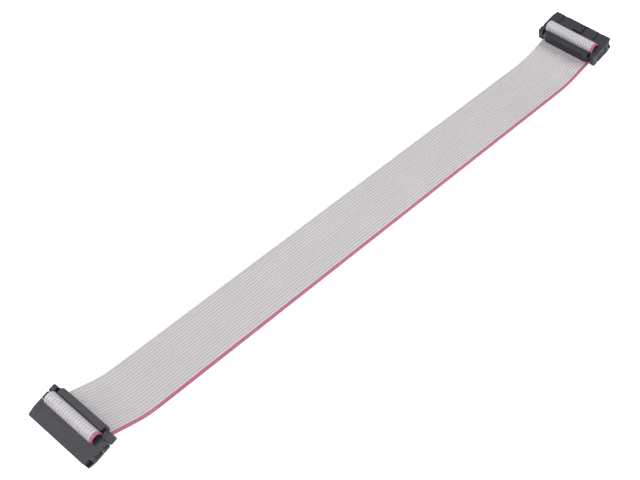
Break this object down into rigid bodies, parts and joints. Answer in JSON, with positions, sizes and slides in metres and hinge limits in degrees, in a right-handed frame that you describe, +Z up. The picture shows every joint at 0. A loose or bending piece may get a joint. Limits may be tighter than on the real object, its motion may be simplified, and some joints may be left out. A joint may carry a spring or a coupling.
{
  "type": "ribbon cable",
  "caption": "Flat grey ribbon cable with a red edge wire and a dark crimped socket with folded strain relief at each end.",
  "frame": {"origin": "middle of the bottom of the whole cable's bounding box, on the table it lies on", "axes": "+X runs along the ribbon from the near socket to the far one, +Y across the ribbon away from the red edge, +Z up from the table"},
  "size_m": [0.304, 0.03, 0.0136],
  "materials": {
    "grey_pvc": "satin",
    "red_pvc": "satin",
    "black_plastic": "moulded, slightly glossy",
    "contact_bronze": "plated",
    "tinned_copper": "stranded wire"
  },
  "bodies": {
    "root": {"grey_insulation": "grey_pvc", "red_insulation": "red_pvc", "near_socket": "black_plastic", "near_cover": "black_plastic", "near_strain_relief": "black_plastic", "near_odd_contacts": "contact_bronze", "near_even_contacts": "contact_bronze", "far_socket": "black_plastic", "far_cover": "black_plastic", "far_strain_relief": "black_plastic", "far_odd_contacts": "contact_bronze", "far_even_contacts": "contact_bronze", "conductor_01": "tinned_copper", "conductor_02": "tinned_copper", "conductor_03": "tinned_copper", "conductor_04": "tinned_copper", "conductor_05": "tinned_copper", "conductor_06": "tinned_copper", "conductor_07": "tinned_copper", "conductor_08": "tinned_copper", "conductor_09": "tinned_copper", "conductor_10": "tinned_copper", "conductor_11": "tinned_copper", "conductor_12": "tinned_copper", "conductor_13": "tinned_copper", "conductor_14": "tinned_copper", "conductor_15": "tinned_copper", "conductor_16": "tinned_copper", "conductor_17": "tinned_copper", "conductor_18": "tinned_copper", "conductor_19": "tinned_copper", "conductor_20": "tinned_copper"}
  },
  "joints": []
}
